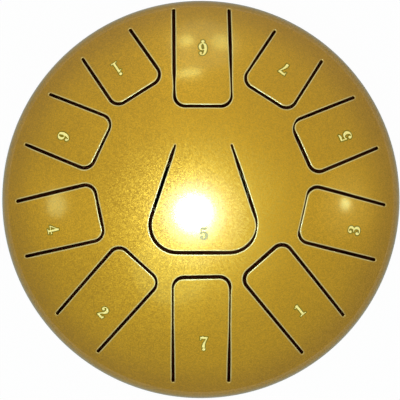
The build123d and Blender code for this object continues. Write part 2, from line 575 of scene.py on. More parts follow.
@dataclass(frozen=True)
class GoldLacquer:
    """Gold metallic paint: fine flakes in a tinted base under a clear coat, with the ripple of sprayed paint."""

    deep: Colour = (0.515, 0.243, 0.0013, 1.0)
    light: Colour = (0.725, 0.341, 0.0034, 1.0)
    # Paler paint on the slots' edges: partly worn paint, partly a painted highlight on the lips
    edge: Colour = (0.80, 0.59, 0.25, 1.0)
    # Painted shade: below these heights the paint is multiplied by this darker, cooler tone, darkest towards the rim
    # and on the bowl
    low_shade: Colour = (0.80, 0.78, 0.85, 1.0)
    low_shade_heights: tuple[float, float] = (0.074, 0.086)
    flake_size: float = 0.00045
    flake_tilt: float = 0.14
    ripple_size: float = 0.0030
    ripple_detail: float = 1.0
    ripple_depth: float = 0.00001
    cloud_size: float = 0.03
    cloud_spread: float = 0.10
    metallic: float = 0.50
    gloss_size: float = 0.012
    roughness: tuple[float, float] = (0.38, 0.43)
    coat: float = 1.0
    coat_roughness: float = 0.14
    coat_ior: float = 1.52

    def make(self) -> bpy.types.Material:
        """Makes the paint.

        Flakes shade and tilt the base, mottle changes its gloss and ripple bends it. Low on the drum the colour is
        darker and slightly cooler, a painted shade towards the rim, and the edges are paler, partly worn paint and
        partly a painted highlight.

        Returns:
            The material.
        """
        material, board = new_material("gold_lacquer")
        flakes = board.effect(Effect.FLAKES, size=self.flake_size, tilt=self.flake_tilt)
        ripple = board.effect(Effect.RIPPLE, size=self.ripple_size, detail=self.ripple_detail)
        cloud = board.effect(Effect.MOTTLE, size=self.cloud_size, low=-self.cloud_spread, high=self.cloud_spread)
        gloss = board.effect(Effect.MOTTLE, size=self.gloss_size, low=self.roughness[0], high=self.roughness[1])
        share = board.math("ADD", flakes["Shade"], cloud["Value"])
        paint = board.mix(share, self.deep, self.light)
        place = board.add("ShaderNodeTexCoord").outputs["Object"]
        height = board.add("ShaderNodeSeparateXYZ", {0: place}).outputs["Z"]
        # Painted shade: darker and cooler low on the drum
        low_shade_share = board.ramp(height, self.low_shade_heights, kind="SMOOTHSTEP")
        paint = board.mix(1.0, paint, board.mix(low_shade_share, self.low_shade, WHITE), "MULTIPLY")
        # Paler edges: partly worn paint, partly a painted highlight
        wear = board.add("ShaderNodeAttribute", attribute_name=EDGE_WEAR_AND_HIGHLIGHT).outputs["Fac"]
        board.shade(
            {
                "Base Color": board.mix(wear, paint, self.edge),
                "Roughness": gloss["Value"],
                "Normal": board.bump(ripple["Height"], self.ripple_depth, Normal=flakes["Normal"]),
                "Metallic": self.metallic,
                "Coat Weight": self.coat,
                "Coat Roughness": self.coat_roughness,
                "Coat IOR": self.coat_ior,
            }
        )
        return material


@dataclass(frozen=True)
class CloudyCoat:
    """A plain finish: two close colours in clouds, an uneven gloss and, where it has one, a fine grain."""

    name: str
    deep: Colour
    light: Colour
    shine: float
    cloud_size: float
    gloss_size: float
    roughness: tuple[float, float]
    grain_size: float = 0.0
    grain_detail: float = 0.0
    grain_depth: float = 0.0

    def make(self) -> bpy.types.Material:
        """Makes the finish: mottled colour and gloss, over the grain.

        Returns:
            The material.
        """
        material, board = new_material(self.name)
        cloud = board.effect(Effect.MOTTLE, size=self.cloud_size, low=0.0, high=1.0)
        gloss = board.effect(Effect.MOTTLE, size=self.gloss_size, low=self.roughness[0], high=self.roughness[1])
        feeds = {
            "Base Color": board.mix(cloud["Value"], self.deep, self.light),
            "Roughness": gloss["Value"],
            "Specular IOR Level": self.shine,
        }
        if self.grain_depth > 0:
            grain = board.effect(Effect.RIPPLE, size=self.grain_size, detail=self.grain_detail)
            feeds["Normal"] = board.bump(grain["Height"], self.grain_depth)
        board.shade(feeds)
        return material


# Red oxide primer on the inside of the steel, dull and cloudy, and the near-black cuts: partly burnt steel, partly
# painted shade inside the slots
PRIMER = CloudyCoat(
    "inside_coat", (0.26, 0.045, 0.006, 1.0), (0.38, 0.075, 0.012, 1.0),
    shine=0.15, cloud_size=0.015, gloss_size=0.006, roughness=(0.55, 0.75),
    grain_size=0.0012, grain_detail=3.0, grain_depth=0.00004,
)
SHADED_CUT_STEEL = replace(
    PRIMER, name="cut_steel", deep=(0.018, 0.003, 0.0004, 1.0), light=(0.028, 0.005, 0.0008, 1.0), shine=0.0
)
# Pale yellow print of the note numbers, a little uneven, a darker and greyer copy as painted shade on the middle
# number, and the darker border
PRINT = CloudyCoat(
    "number_print", (1.00, 0.665, 0.185, 1.0), (1.00, 0.775, 0.32, 1.0),
    shine=0.3, cloud_size=0.0008, gloss_size=0.002, roughness=(0.50, 0.65),
)
SHADED_MIDDLE_PRINT = replace(PRINT, name="number_worn", deep=(0.54, 0.43, 0.20, 1.0), light=(0.66, 0.53, 0.27, 1.0))
BORDER = replace(PRINT, name="number_border", deep=(0.20, 0.12, 0.0005, 1.0), light=(0.27, 0.165, 0.001, 1.0))
# Moulded black rubber with a fine grain and a trace of dust
RUBBER = CloudyCoat(
    "foot_rubber", (0.010, 0.010, 0.010, 1.0), (0.028, 0.027, 0.026, 1.0),
    shine=0.35, cloud_size=0.004, gloss_size=0.003, roughness=(0.50, 0.72),
    grain_size=0.0004, grain_detail=2.0, grain_depth=0.00003,
)


@dataclass(frozen=True)
class FoamTape:
    """Grey foam of the adhesive discs, with open cells."""

    deep: Colour = (0.16, 0.16, 0.155, 1.0)
    light: Colour = (0.34, 0.34, 0.33, 1.0)
    roughness: float = 0.9
    cell_size: float = 0.0003
    cell_detail: float = 2.0
    cell_depth: float = 0.00006

    def make(self) -> bpy.types.Material:
        """Makes the foam: small cells in colour and height.

        Returns:
            The material.
        """
        material, board = new_material("foam_tape")
        cells = board.effect(Effect.RIPPLE, size=self.cell_size, detail=self.cell_detail)["Height"]
        colour = board.mix(cells, self.deep, self.light)
        normal = board.bump(cells, self.cell_depth)
        board.shade({"Base Color": colour, "Roughness": self.roughness, "Normal": normal})
        return material


@dataclass(frozen=True)
class Finishes:
    """The materials of the drum, made once."""

    gold: bpy.types.Material
    inside: bpy.types.Material
    cut: bpy.types.Material
    number: bpy.types.Material
    worn_number: bpy.types.Material
    border: bpy.types.Material
    rubber: bpy.types.Material
    foam: bpy.types.Material

    @classmethod
    def make(cls) -> "Finishes":
        """Builds the shared effects and then every finish, in the order of the fields.

        Returns:
            The materials.
        """
        build_effects()
        coats = (GoldLacquer(), PRIMER, SHADED_CUT_STEEL, PRINT, SHADED_MIDDLE_PRINT, BORDER, RUBBER, FoamTape())
        return cls(*(coat.make() for coat in coats))


# Shape of the shells


@dataclass(frozen=True)
class ShellSection:
    """Section of the two pressed shells, turned about the upright axis."""

    radius: float
    dome_top: float
    seam: float
    sheet: float = 0.0012
    dome_rise: float = 0.0437
    shoulder: float = 0.012
    bowl_radius: float = 0.260
    bowl_shoulder: float = 0.040
    bowl_bottom: float = 0.004
    hole_radius: float = 0.025
    hole_bend: float = 0.003
    hole_lip: float = 0.003
    weld_gap: float = 0.0008

    @classmethod
    def from_frame(cls) -> "ShellSection":
        """The section at the size of the construction: half the shell's width, the dome's top, the weld's middle.

        Returns:
            The section.
        """
        shell_low, shell_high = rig.box("top_shell")
        weld_low, weld_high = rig.box("seam_weld")
        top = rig.box("tongue_low_5")[1].z
        return cls((shell_high.x - shell_low.x) / 2, top, (weld_low.z + weld_high.z) / 2)

    @property
    def shoulder_reach(self) -> float:
        """Distance of the shoulder's centre from the axis."""
        return self.radius - self.shoulder

    @property
    def dome_radius(self) -> float:
        """Radius of the ball that the dome is a cap of, from its rise and the shoulder that it runs into."""
        square = self.shoulder_reach**2 + self.dome_rise**2 - self.shoulder**2
        return square / (2 * (self.dome_rise - self.shoulder))

    @property
    def shoulder_height(self) -> float:
        """Height of the shoulder's centre."""
        return self.dome_top - self.dome_rise

    @property
    def dome_slope(self) -> float:
        """Sine of the dome's slope where it runs into the shoulder."""
        return self.shoulder_reach / (self.dome_radius - self.shoulder)

    def skin(self, plan: np.ndarray, depth: float = 0.0) -> tuple[np.ndarray, np.ndarray]:
        """Places and normals on the upper shell, over points of the plan.

        Inside the circle where they meet, the height is that of the dome's ball, and outside it that of the
        shoulder's ring. A deeper layer lies under the outer face along its normals, as slots cut square to the
        sheet do.

        Args:
            plan: Points of the plan, with the last axis of 2.
            depth: Depth of the layer under the outer face.

        Returns:
            The points and the outward normals of that layer.
        """
        reach = np.linalg.norm(plan, axis=-1, keepdims=True)
        on_dome = reach <= self.dome_radius * self.dome_slope
        middle = np.where(on_dome, 0.0, self.shoulder_reach)
        base = np.where(on_dome, self.dome_top - self.dome_radius, self.shoulder_height)
        size = np.where(on_dome, self.dome_radius, self.shoulder)
        out = (reach - middle) / size
        up = np.sqrt(1 - out**2)
        normals = np.concatenate([plan / np.maximum(reach, MERGE_DISTANCE) * out, up], axis=-1)
        return np.concatenate([plan, base + size * up], axis=-1) - depth * normals, normals

    def bowl_height(self, reach: np.ndarray, grow: float = 0.0) -> np.ndarray:
        """Height of the bowl's ball at distances from the axis, grown outwards by a thickness."""
        return self.bowl_bottom + self.bowl_radius - np.sqrt((self.bowl_radius + grow) ** 2 - reach**2)


# The upper shell with its tongues


class Octave(Enum):
    """Where a note number has its dot."""

    LOW = "below"
    PLAIN = "none"
    HIGH = "above"


@dataclass(frozen=True)
class Tongue:
    """One tongue: its slot in the plan, as the construction has it, and the number printed on it.

    The axis runs out from the drum's centre at the azimuth, and passes the centre at the side share of the
    radius to the left. The tip stands at its share of the radius, slanted. The number's place is given along
    the axis and to the left of it, its upward way as 1 along the axis or -1 against it, and its darker border as a
    share of its height.
    """

    name: str
    azimuth: float
    slant: float
    side_share: float
    tip_share: float
    digit: str
    octave: Octave
    number_along: float
    number_side: float
    number_height: float
    root_circle_share: float = 0.91
    width: float = 0.0276
    corner_radius: float = 0.0053
    number_border: float = 0.08
    # True for the middle number, which is printed darker and greyer as painted shade and has no dot
    number_worn: bool = False
    number_way: float = -1.0

    def spot(self, along: float, side: float) -> np.ndarray:
        """A point of the plan.

        Args:
            along: Its distance along the tongue's axis.
            side: Its distance to the left of the axis.

        Returns:
            The point.
        """
        turn = math.radians(self.azimuth)
        axis = np.array([math.cos(turn), math.sin(turn)])
        return along * axis + side * left_of(axis)

    def corners(self, radius: float) -> list[np.ndarray]:
        """The slot's left end, its two tip corners and its right end, on its middle line.

        Args:
            radius: Radius of the drum.

        Returns:
            The four points of the plan.
        """
        left = self.side_share * radius + self.width / 2
        right = self.side_share * radius - self.width / 2
        slant = math.tan(math.radians(self.slant)) * self.width / 2
        tip = self.tip_share * radius
        circle = self.root_circle_share * radius
        return [
            self.spot(math.sqrt(circle**2 - left**2), left),
            self.spot(tip + slant, left),
            self.spot(tip - slant, right),
            self.spot(math.sqrt(circle**2 - right**2), right),
        ]

    def number_frame(self, radius: float) -> tuple[np.ndarray, np.ndarray]:
        """The number's centre in the plan and its upward direction."""
        centre = self.spot(self.number_along, self.side_share * radius + self.number_side)
        return centre, self.spot(self.number_way, 0.0)


@dataclass(frozen=True)
class MiddleTongue(Tongue):
    """The tongue in the middle, wider at its tip than at its root, with its root on the far side of the centre."""

    root_share: float = 0.259
    root_width: float = 0.0271
    width: float = 0.0613
    corner_radius: float = 0.0132
    number_border: float = 0.02
    number_worn: bool = True
    number_way: float = 1.0

    def corners(self, radius: float) -> list[np.ndarray]:
        """The slot's left end, its two tip corners and its right end, on its middle line.

        Args:
            radius: Radius of the drum.

        Returns:
            The four points of the plan.
        """
        side = self.side_share * radius
        root = self.root_share * radius
        tip = self.tip_share * radius
        return [
            self.spot(root, side + self.root_width / 2),
            self.spot(tip, side + self.width / 2),
            self.spot(tip, side - self.width / 2),
            self.spot(root, side - self.root_width / 2),
        ]


TONGUES: tuple[Tongue, ...] = (
    Tongue("tongue_1", 309.4, -1.9, 0.044, 0.407, "1", Octave.PLAIN, 0.0723, -0.0015, 0.0058),
    Tongue("tongue_2", 228.3, 0.5, -0.018, 0.423, "2", Octave.PLAIN, 0.0728, 0.0028, 0.0059),
    Tongue("tongue_3", 345.7, -1.4, 0.061, 0.494, "3", Octave.PLAIN, 0.0764, -0.0022, 0.0061),
    Tongue("tongue_4", 192.8, 1.1, -0.055, 0.490, "4", Octave.PLAIN, 0.0736, 0.0037, 0.0057),
    Tongue("tongue_5", 22.4, -1.7, 0.041, 0.545, "5", Octave.PLAIN, 0.0772, -0.0024, 0.0064),
    Tongue("tongue_6", 157.8, 3.1, -0.062, 0.543, "6", Octave.PLAIN, 0.0737, 0.0031, 0.0058),
    Tongue("tongue_7", 57.0, -0.6, 0.009, 0.589, "7", Octave.PLAIN, 0.0758, -0.0003, 0.0060),
    Tongue("tongue_high_1", 124.4, 2.2, -0.048, 0.595, "1", Octave.HIGH, 0.0766, 0.0023, 0.0056),
    Tongue("tongue_low_6", 91.0, 1.2, -0.019, 0.449, "6", Octave.LOW, 0.0734, -0.0003, 0.0062, 0.952),
    Tongue("tongue_low_7", 269.7, -1.4, 0.005, 0.373, "7", Octave.LOW, 0.0695, 0.0014, 0.0057),
    MiddleTongue("tongue_low_5", 90.0, 0.0, -0.012, -0.255, "5", Octave.LOW, -0.0163, -0.0002, 0.0059),
)

# Each slot's width as the cutter left it: shares of the slot's length from its left end, and the widths there in
# millimetres
SLOT_WIDTHS: dict[str, tuple[tuple[float, ...], tuple[float, ...]]] = {
    "tongue_1": ((0.0, 0.36, 0.40, 0.60, 0.65, 1.0), (1.44, 1.50, 1.75, 1.75, 1.50, 1.44)),
    "tongue_2": (
        (0.0, 0.36, 0.39, 0.42, 0.50, 0.62, 0.70, 0.78, 1.0),
        (1.45, 1.45, 0.90, 1.28, 1.32, 1.55, 1.52, 1.44, 1.46),
    ),
    "tongue_3": (
        (0.0, 0.12, 0.18, 0.36, 0.385, 0.415, 0.575, 0.60, 0.66, 0.74, 1.0),
        (1.44, 1.44, 1.52, 1.58, 1.40, 0.58, 0.52, 1.34, 1.46, 1.58, 1.58),
    ),
    "tongue_4": (
        (0.0, 0.33, 0.38, 0.42, 0.45, 0.51, 0.56, 0.60, 0.69, 0.81, 1.0),
        (1.55, 1.46, 1.36, 1.14, 1.44, 1.46, 1.10, 1.46, 1.65, 1.70, 1.62),
    ),
    "tongue_5": (
        (0.0, 0.27, 0.33, 0.36, 0.39, 0.42, 0.57, 0.65, 0.70, 1.0),
        (1.46, 1.44, 1.30, 0.58, 0.95, 1.68, 1.64, 1.68, 1.50, 1.50),
    ),
    "tongue_6": (
        (0.0, 0.03, 0.18, 0.28, 0.36, 0.42, 0.47, 0.57, 0.62, 0.66, 1.0),
        (1.28, 1.56, 1.54, 1.46, 1.66, 1.44, 1.22, 1.20, 0.96, 1.40, 1.45),
    ),
    "tongue_7": (
        (0.0, 0.06, 0.21, 0.29, 0.35, 0.42, 0.57, 0.66, 0.72, 0.84, 1.0),
        (1.42, 1.42, 1.28, 1.02, 1.42, 1.46, 1.46, 1.55, 1.22, 1.30, 1.46),
    ),
    "tongue_high_1": (
        (0.0, 0.03, 0.36, 0.42, 0.57, 0.63, 0.67, 0.72, 1.0),
        (1.32, 1.48, 1.54, 1.48, 1.48, 1.60, 1.34, 1.56, 1.58),
    ),
    "tongue_low_6": (
        (0.0, 0.27, 0.30, 0.33, 0.38, 0.45, 0.55, 0.60, 0.65, 0.72, 0.78, 0.84, 1.0),
        (1.58, 1.52, 1.06, 0.80, 1.56, 1.42, 1.42, 1.52, 0.62, 0.82, 1.28, 1.52, 1.58),
    ),
    "tongue_low_7": (
        (0.0, 0.06, 0.12, 0.18, 0.22, 0.35, 0.39, 0.43, 0.57, 0.60, 0.63, 0.76, 0.82, 0.90, 1.0),
        (1.50, 1.50, 1.28, 0.88, 0.64, 0.64, 1.52, 1.68, 1.74, 1.42, 0.76, 0.78, 1.06, 1.36, 1.46),
    ),
    "tongue_low_5": (
        (0.0, 0.03, 0.33, 0.45, 0.51, 0.60, 0.66, 0.69, 0.72, 0.75, 0.78, 0.93, 0.96, 1.0),
        (0.75, 1.50, 1.56, 1.68, 1.70, 1.54, 1.42, 0.92, 0.42, 1.20, 1.48, 1.50, 1.05, 0.95),
    ),
}


@dataclass(frozen=True)
class SlotLine:
    """Middle line of a slot in the plan: its points and, at each, the directions along it and into the tongue."""

    points: np.ndarray
    along: np.ndarray

    @property
    def inward(self) -> np.ndarray:
        """Directions into the tongue, which lies to the left of the line."""
        return left_of(self.along)

    @property
    def shares(self) -> np.ndarray:
        """Share of the line's length that lies before each point."""
        passed = np.append(0.0, np.cumsum(np.linalg.norm(np.diff(self.points, axis=0), axis=1)))
        return passed / passed[-1]

    @classmethod
    def rounded(cls, corners: list[np.ndarray], radius: float, step: float, turn_step: float) -> "SlotLine":
        """A line through four corners with its two middle corners rounded.

        Each round starts and ends where a circle of the radius touches both runs. Its points turn from one run's
        normal to the other's about the circle's centre.

        Args:
            corners: The four points of the plan.
            radius: Radius of the rounded corners.
            step: Length of a step on the runs.
            turn_step: Angle of a step on the rounds.

        Returns:
            The line.
        """
        runs = np.diff(np.array(corners), axis=0)
        lengths = np.linalg.norm(runs, axis=1)
        ways = runs / lengths[:, None]
        headings = np.arctan2(ways[:, 1], ways[:, 0])
        bends = np.mod(np.diff(headings), 2 * math.pi)
        cuts = radius * np.tan(bends / 2)
        trims = np.array([[0.0, cuts[0]], [cuts[0], cuts[1]], [cuts[1], 0.0]])
        points, along = [], []
        for number in range(3):
            span = lengths[number] - trims[number].sum()
            share = np.linspace(0, 1, max(LEAST_STEPS, round(span / step)) + 1)[:, None]
            start = corners[number] + ways[number] * trims[number, 0]
            points.append(start + ways[number] * span * share)
            along.append(np.tile(ways[number], (len(share), 1)))
            if number < 2:
                middle = points[-1][-1] + radius * left_of(ways[number])
                steps = max(LEAST_STEPS, round(bends[number] / turn_step))
                heading = headings[number] + np.linspace(0, bends[number], steps + 1)[1:-1]
                way = np.stack([np.cos(heading), np.sin(heading)], axis=-1)
                points.append(middle - radius * left_of(way))
                along.append(way)
        return cls(np.concatenate(points), np.concatenate(along))


@dataclass(frozen=True)
class SlotEdge:
    """One edge of a slot in the plan.

    At each point: the place on the slot's middle line, the direction into the steel, half the slot's width there
    and the share of its paler paint, partly wear and partly a painted highlight.
    """

    centres: np.ndarray
    away: np.ndarray
    half: np.ndarray
    worn: np.ndarray

    def ring(self, back: float) -> np.ndarray:
        """Points of the plan that stand back from the cut."""
        return self.centres + (self.half + back)[:, None] * self.away


@dataclass
class UpperShell:
    """The pressed dome with its eleven tongues, all divided in one net so that their skins run into each other.

    The net covers the plan out to a circle just inside the shoulder's rim. It leaves out the slots, with a
    margin for their rounded edges and the paler fringe beside them. The edges are strips of a profile carried
    along each slot, and the skirt is a profile turned round the axis.
    """

    section: ShellSection
    tongues: tuple[Tongue, ...] = TONGUES
    edge_radius: float = 0.00030
    edge_fringe: float = 0.00040
    edge_steps: int = 3
    # Share of the paler edge paint left at the slots' ends, partly wear and partly painted highlight
    end_wear_and_highlight: float = 0.4
    net_size: float = 0.0024
    net_clearance: float = 0.0011
    net_radius: float = 0.0972
    bend_rings: int = 2
    bend_segments: int = 480
    bend_clearance: float = 0.0006
    line_step: float = 0.0022
    turn_step: float = math.radians(7.0)
    cap_steps: int = 10
    segments: int = 360
    shoulder_steps: int = 20
    inner_shoulder_steps: int = 12
    skirt_steps: int = 4
    skirt_edge_radius: float = 0.0003
    skirt_edge_steps: int = 5

    def build(self, finishes: Finishes) -> None:
        """Builds the shell and its tongues as separate pieces and fits each to its body.

        Args:
            finishes: The drum's materials.
        """
        edges = [self.slot_edges(tongue) for tongue in self.tongues]
        plan, triangles, owner = self.divide_plan(edges)
        coats = [finishes.gold, finishes.inside, finishes.cut]

        shell = self.net_skins(plan, triangles[owner == 0]) + self.skirt()
        for shell_edge, _, root in edges:
            shell += self.edge_strips(shell_edge) + self.root_walls(shell_edge, root, 1.0)
        piece = make_piece("upper_shell", shell, coats)
        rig.ride(piece, "drum")
        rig.replaces(piece, "top_shell")
        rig.slot(piece, "gold_lacquer")

        for number, (tongue, (_, tongue_edge, root)) in enumerate(zip(self.tongues, edges), start=1):
            skins = self.net_skins(plan, triangles[owner == number])
            skins += self.edge_strips(tongue_edge) + self.root_walls(tongue_edge, root, -1.0)
            piece = make_piece(f"{tongue.name}_blade", skins, coats)
            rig.blend(piece, "drum", tongue.name, **self.bend_line(tongue))
            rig.replaces(piece, tongue.name)
            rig.slot(piece, "gold_lacquer")

    def bend_line(self, tongue: Tongue) -> dict[str, Vector]:
        """Where a tongue's bending starts, at the middle of its root, and where it ends, at the middle of its tip.

        Args:
            tongue: The tongue.

        Returns:
            The two places by the words start and end.
        """
        left_end, left_tip, right_tip, right_end = tongue.corners(self.section.radius)
        ends = np.stack([(left_end + right_end) / 2, (left_tip + right_tip) / 2])
        root, tip = self.section.skin(ends)[0]
        return {"start": Vector(root), "end": Vector(tip)}

    def slot_edges(self, tongue: Tongue) -> tuple[SlotEdge, SlotEdge, np.ndarray]:
        """The shell's edge of a slot, the tongue's edge, and the root line between the slot's ends.

        The shell's edge runs round the slot's first end, along its outer side and round its other end. The
        tongue's edge is the inner side. The slot's width changes evenly between the places it is given for.

        Args:
            tongue: The tongue that the slot frees.

        Returns:
            The two edges, and the points of the root line.
        """
        corners = tongue.corners(self.section.radius)
        line = SlotLine.rounded(corners, tongue.corner_radius, self.line_step, self.turn_step)
        inward = line.inward
        half = np.interp(line.shares, *SLOT_WIDTHS[tongue.name]) * MILLIMETRE / 2
        turn = np.linspace(0, math.pi, self.cap_steps + 1)[:, None]
        first_cap = np.cos(turn) * inward[0] - np.sin(turn) * line.along[0]
        last_cap = -np.cos(turn) * inward[-1] + np.sin(turn) * line.along[-1]
        spread = np.array([len(turn)] + [1] * (len(half) - 2) + [len(turn)])
        # Paler edge paint along the slot, less at its ends: partly wear, partly a painted highlight
        worn = np.ones(len(half))
        worn[[0, -1]] = self.end_wear_and_highlight
        away = np.concatenate([first_cap, -inward[1:-1], last_cap])
        shell_edge = SlotEdge(
            np.repeat(line.points, spread, axis=0), away, np.repeat(half, spread), np.repeat(worn, spread)
        )
        tongue_edge = SlotEdge(line.points, inward, half, worn)
        ring = tongue_edge.ring(self.margin)
        steps = round(np.linalg.norm(ring[-1] - ring[0]) / self.line_step)
        root = ring[0] + np.linspace(0, 1, steps + 1)[:, None] * (ring[-1] - ring[0])
        return shell_edge, tongue_edge, root

    @property
    def margin(self) -> float:
        """How far the net stands back from the cut, for the rounded lip and the pale fringe beside it: partly wear,
        partly painted highlight.
        """
        return self.edge_radius + self.edge_fringe

    def divide_plan(
        self, edges: list[tuple[SlotEdge, SlotEdge, np.ndarray]]
    ) -> tuple[np.ndarray, np.ndarray, np.ndarray]:
        """Divides the plan into triangles that keep to the slots' edges and the roots.

        The corners are the outer circle, the edges, the root lines, rings over the bend into the shoulder and,
        between them, an even net of staggered rows. Each triangle belongs to the tongue whose outline it lies
        in, or to the shell.

        Args:
            edges: Both edges and the root line of every slot.

        Returns:
            The corners in the plan, the triangles, and for each the number of its tongue, 0 for the shell.
        """
        back = self.margin
        circle = self.net_radius * spokes(self.segments)
        gaps = [np.concatenate([shell.ring(back), blade.ring(back)[-2:0:-1]]) for shell, blade, _ in edges]
        outlines = [np.concatenate([blade.ring(back), root[-2:0:-1]]) for _, blade, root in edges]
        loops = [circle, *gaps, *outlines]
        bound = np.concatenate(loops)

        bend = self.section.dome_radius * self.section.dome_slope
        reaches = np.linspace(bend, self.net_radius, self.bend_rings, endpoint=False)
        rings = np.concatenate([reach * spokes(self.bend_segments) for reach in reaches])
        rings = self.clear_of(rings, np.concatenate([*gaps, *outlines]), self.bend_clearance)
        across = np.arange(-self.net_radius, self.net_radius, self.net_size)
        rows = np.arange(-self.net_radius, self.net_radius, self.net_size * ROW_RATIO)
        net = np.stack(np.meshgrid(across, rows), axis=-1)
        net[1::2, :, 0] += self.net_size / 2
        net = net.reshape(-1, 2)
        net = net[np.linalg.norm(net, axis=1) < bend - self.net_clearance]
        net = self.clear_of(net, bound, self.net_clearance)

        ends = np.cumsum([len(loop) for loop in loops])
        faces = [list(range(end - len(loop), end)) for loop, end in zip(loops, ends)]
        corners = np.concatenate([bound, rings, net])
        _, _, triangles, given, _, inside = delaunay_2d_cdt(
            (corners * PLAN_SCALE).tolist(), [], faces, INSIDE_ONLY, PLAN_TOLERANCE
        )
        highest = np.array([max(numbers) for numbers in inside])
        in_gap = np.array([any(1 <= number <= len(gaps) for number in numbers) for numbers in inside])
        owner = np.maximum(highest - len(gaps), 0)
        return corners[[numbers[0] for numbers in given]], np.array(triangles)[~in_gap], owner[~in_gap]

    @staticmethod
    def clear_of(points: np.ndarray, others: np.ndarray, distance: float, parts: int = 16) -> np.ndarray:
        """The points that are further than a distance from all of the others.

        Args:
            points: Points of the plan.
            others: The points to keep clear of.
            distance: The distance.
            parts: Number of parts that the points are measured in, for the memory's sake.

        Returns:
            Those points that are clear.
        """
        nearest = [
            np.linalg.norm(part[:, None] - others, axis=-1).min(axis=1) for part in np.array_split(points, parts)
        ]
        return points[np.concatenate(nearest) > distance]

    def net_skins(self, plan: np.ndarray, triangles: np.ndarray) -> list[Surface]:
        """Outer and inner skin over some of the net's triangles: the plan lifted to both faces of the sheet.

        Args:
            plan: The net's corners.
            triangles: The triangles.

        Returns:
            The two skins.
        """
        used, faces = np.unique(triangles, return_inverse=True)
        faces = faces.reshape(-1, 3)
        outer, outer_normals = self.section.skin(plan[used])
        inner, inner_normals = self.section.skin(plan[used], self.section.sheet)
        return [Surface(outer, outer_normals, faces), Surface(inner, -inner_normals, faces, Coat.INSIDE)]

    def edge_profile(self, edge: SlotEdge) -> tuple[np.ndarray, np.ndarray, np.ndarray]:
        """Rows of an edge: the fringe on the outer skin, the rounded lip, and two rows of the inner skin.

        On the lip the row at a share of a right angle stands back from the cut by the radius less its sine and
        lies under the skin by the radius less its cosine. The cut runs along the sheet's normal.

        Args:
            edge: The slot's edge.

        Returns:
            The outer rows, their normals, and the plan of the inner rows, from the cut inwards.
        """
        angle = np.append(0.0, np.linspace(0, math.pi / 2, self.edge_steps + 1))
        back = self.edge_radius * (1 - np.sin(angle))
        back[0] = self.margin
        sine, cosine = np.sin(angle)[:, None, None], np.cos(angle)[:, None, None]
        lip, normals = self.section.skin(edge.centres + (edge.half + back[:, None])[..., None] * edge.away)
        lip = lip - self.edge_radius * (1 - cosine) * normals
        normals = cosine * normals + sine * self.cut_normals(edge, normals)
        return lip, normals, np.stack([edge.ring(0.0), edge.ring(self.margin)])

    @staticmethod
    def cut_normals(edge: SlotEdge, normals: np.ndarray) -> np.ndarray:
        """Directions out of the cut into the slot, square to the sheet's normals."""
        level = -flat_direction(edge.away)
        return unit(level - (level * normals).sum(axis=-1, keepdims=True) * normals)

    def edge_strips(self, edge: SlotEdge) -> list[Surface]:
        """Skins of an edge: the fringe with the rounded lip, the dark cut, and the inner margin.

        Args:
            edge: The slot's edge.

        Returns:
            The three skins.
        """
        lip, normals, under = self.edge_profile(edge)
        inner, inner_normals = self.section.skin(under, self.section.sheet)
        # The cut walls take the near-black finish, partly painted shade inside the slot
        cut = np.stack([lip[-1], inner[0]])
        facing = np.broadcast_to(self.cut_normals(edge, inner_normals[0]), cut.shape)
        # Paler paint over the fringe and lip: partly worn paint, partly a painted highlight
        wear = np.append(0.0, np.cos(np.linspace(0, math.pi / 2, len(lip) - 1)))[:, None] * edge.worn
        return [
            grid_surface(lip, normals, wear=wear),
            grid_surface(cut, facing, Coat.CUT),
            grid_surface(inner, -inner_normals, Coat.INSIDE),
        ]

    def root_walls(self, edge: SlotEdge, root: np.ndarray, facing: float) -> list[Surface]:
        """Walls that close a piece at the root: one under the root line and one at each end of its edge.

        Args:
            edge: The piece's edge of the slot.
            root: Points of the root line.
            facing: 1 for the shell, whose walls face the tongue's tip, and -1 for the tongue.

        Returns:
            The walls.
        """
        across = left_of(unit(root[-1] - root[0]))
        tipward = np.sign((edge.centres.mean(axis=0) - root[0]) @ across)
        normal = facing * tipward * flat_direction(across)
        wall = np.stack([self.section.skin(root)[0], self.section.skin(root, self.section.sheet)[0]])
        walls = [grid_surface(wall, np.broadcast_to(normal, wall.shape), Coat.INSIDE)]
        lip, _, under = self.edge_profile(edge)
        inner = self.section.skin(under, self.section.sheet)[0]
        for end in (0, -1):
            walls.append(face_surface(np.concatenate([lip[:, end], inner[:, end]]), normal, Coat.INSIDE))
        return walls

    def skirt(self) -> list[Surface]:
        """Shoulder and skirt outside the net: the section's profile turned round the axis.

        Outside it runs from the net's circle over the shoulder, down the skirt and round its lower edge, and
        inside it runs back up.

        Returns:
            The outer and the inner skin.
        """
        part = self.section
        edge = part.seam + part.weld_gap / 2
        inner_wall = part.radius - part.sheet
        middle = (part.shoulder_reach, part.shoulder_height)
        start = math.degrees(math.acos((self.net_radius - part.shoulder_reach) / part.shoulder))
        turn = self.skirt_edge_radius
        outside = [
            arc_profile(middle, part.shoulder, start, 0, self.shoulder_steps),
            line_profile((part.radius, edge + turn), (part.radius, part.shoulder_height), self.skirt_steps),
            arc_profile((part.radius - turn, edge + turn), turn, 0, -90, self.skirt_edge_steps),
            line_profile((inner_wall, edge), (part.radius - turn, edge)),
        ]
        inside = [
            line_profile((inner_wall, part.shoulder_height), (inner_wall, edge)),
            arc_profile(middle, part.shoulder - part.sheet, 0, start, self.inner_shoulder_steps, hollow=True),
        ]
        return turned_shell(outside, inside, self.segments)


# The note numbers


